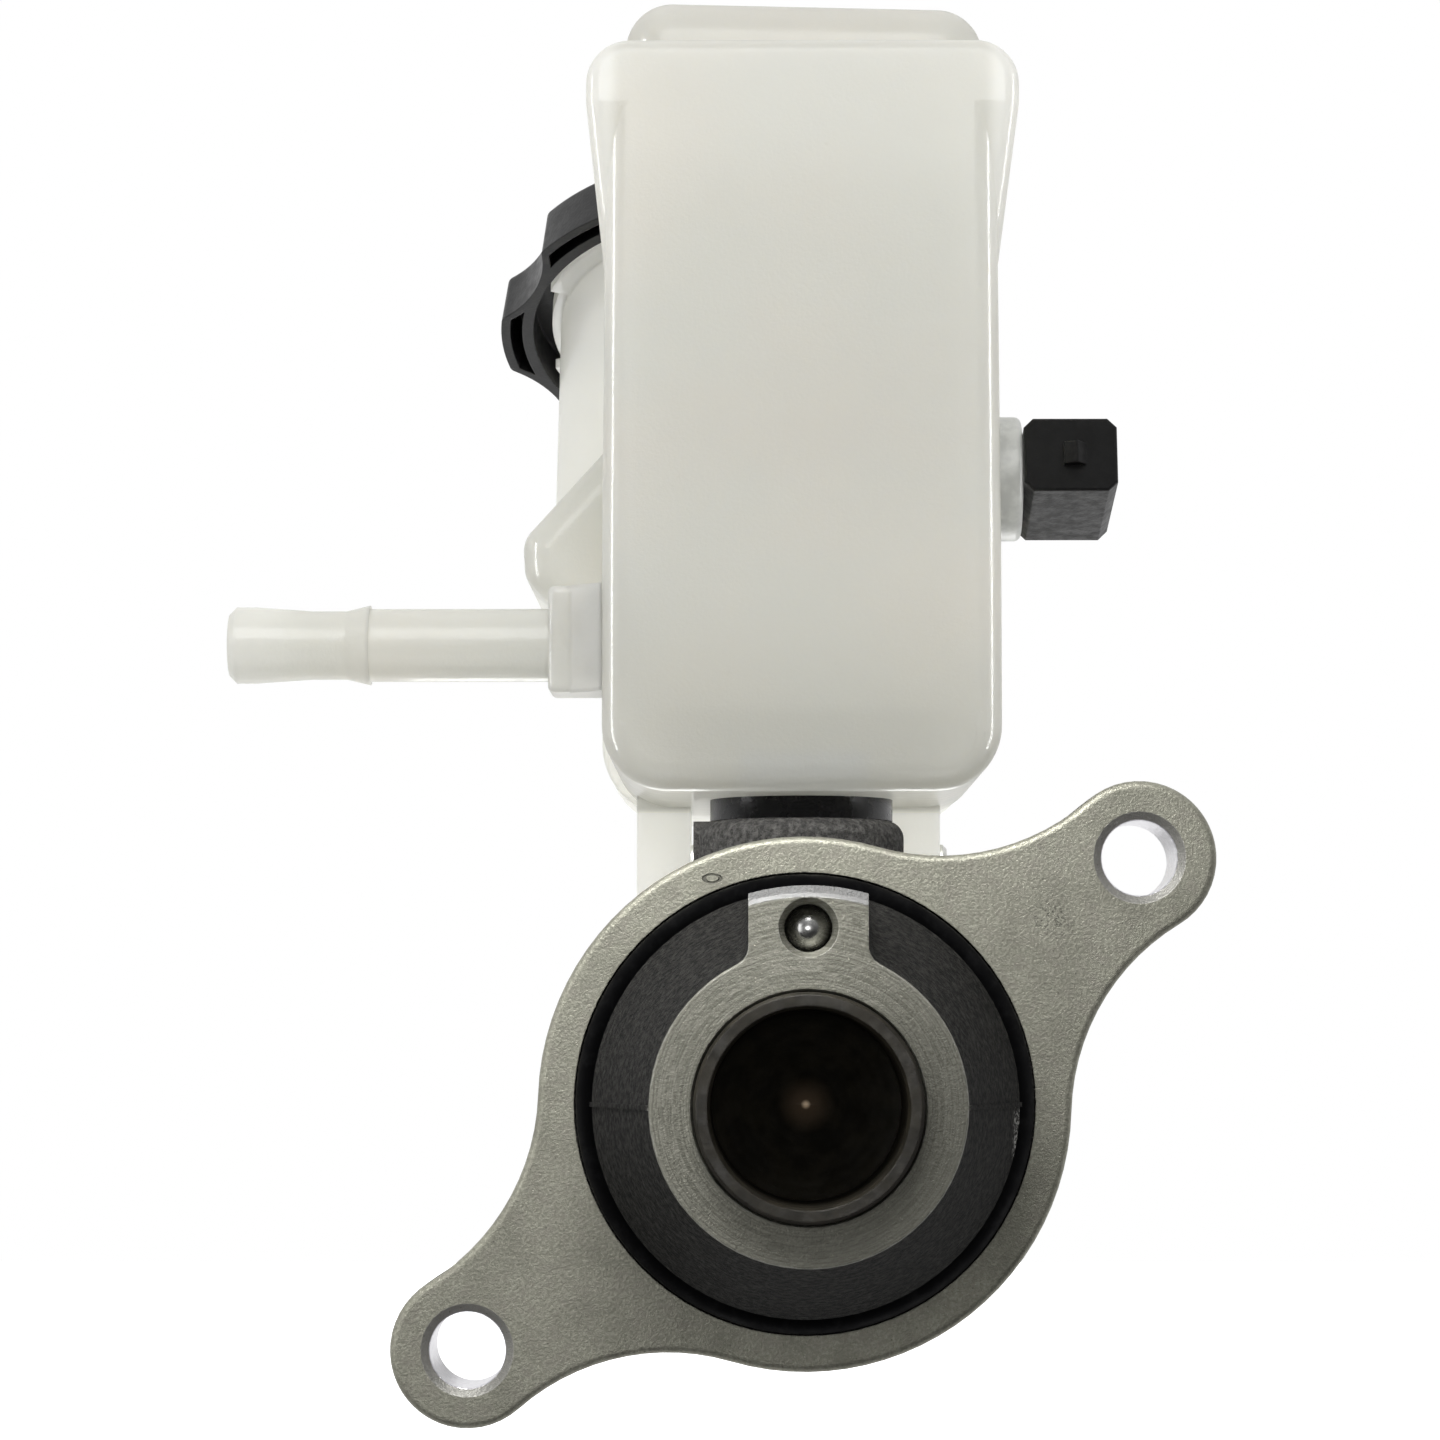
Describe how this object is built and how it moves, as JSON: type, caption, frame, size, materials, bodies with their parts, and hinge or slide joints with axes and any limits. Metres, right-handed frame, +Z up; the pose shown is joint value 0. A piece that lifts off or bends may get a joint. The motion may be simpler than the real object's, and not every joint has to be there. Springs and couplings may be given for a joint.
{
  "type": "brake master cylinder",
  "caption": "Tandem brake master cylinder with a two-ear flange, a translucent fluid reservoir with a lobed cap, a hose nipple and a level sensor.",
  "frame": {"origin": "centre of the flange's mounting face, on the bore axis", "axes": "-Y out of the mounting face towards the brake booster, +Y along the barrel, +Z up to the reservoir"},
  "size_m": [0.1116, 0.161, 0.1643],
  "materials": {
    "cast_aluminium": "cast, with machined faces",
    "anodised_aluminium": "brown hard-anodised",
    "steel": "ground",
    "spring_steel": "drawn wire",
    "rubber": "satin",
    "translucent_plastic": "translucent natural plastic",
    "black_plastic": "satin",
    "grey_plastic": "satin",
    "white_plastic": "satin",
    "terminal_brass": "tinned",
    "switch_glass": "clear",
    "magnet": "matt ferrite"
  },
  "bodies": {
    "housing": {"cylinder_body": "cast_aluminium", "channel_ball": "steel", "flange_oring": "rubber", "outer_seal": "rubber", "guide_ring": "white_plastic", "primary_cup": "rubber", "stop_pin": "steel", "secondary_spring": "spring_steel", "reservoir_tank": "translucent_plastic", "reservoir_front": "translucent_plastic", "hose_nipple": "translucent_plastic", "sensor_pocket": "translucent_plastic", "reservoir_upper_shell": "translucent_plastic", "retaining_pin": "steel", "rear_grommet": "rubber", "front_grommet": "rubber", "filler_strainer": "white_plastic", "sensor_body": "grey_plastic", "sensor_oring": "rubber", "reed_switch": "switch_glass", "sensor_connector": "black_plastic", "connector_terminals": "terminal_brass"},
    "primary": {"primary_piston": "anodised_aluminium", "captive_screw": "steel", "primary_spring": "spring_steel"},
    "secondary": {"secondary_piston": "anodised_aluminium", "separating_cup": "rubber", "secondary_cup": "rubber", "spring_seat": "steel"},
    "gasket": {"cap_gasket": "rubber"},
    "cap": {"filler_cap": "black_plastic"},
    "float": {"level_float": "white_plastic", "float_magnet": "magnet"}
  },
  "joints": [
    {"name": "primary_slide", "type": "slide", "parent": "housing", "child": "primary", "axis": [0, 1, 0], "range_m": [0, 0.028], "stiffness_N_per_m": 2000, "springref_m": -0.02, "deforming": ["primary_spring", "secondary_spring"]},
    {"name": "secondary_slide", "type": "slide", "parent": "housing", "child": "secondary", "axis": [0, 1, 0], "range_m": [0, 0.014]},
    {"name": "cap_lift", "type": "slide", "parent": "housing", "child": "gasket", "axis": [0, 0.4617, 0.887], "range_m": [0, 0.004]},
    {"name": "cap_turn", "type": "hinge", "parent": "gasket", "child": "cap", "pos_m": [-0.009, 0.095, 0.101], "axis": [0, 0.4617, 0.887], "range_deg": [0, 120]},
    {"name": "float_slide", "type": "slide", "parent": "housing", "child": "float", "axis": [0, 0, 1], "range_m": [0, 0.02]}
  ],
  "couplings": [
    {"joint": "secondary_slide", "follows": "primary_slide", "ratio": 0.5},
    {"joint": "cap_lift", "follows": "cap_turn", "m_per_rad": 0.0019}
  ]
}
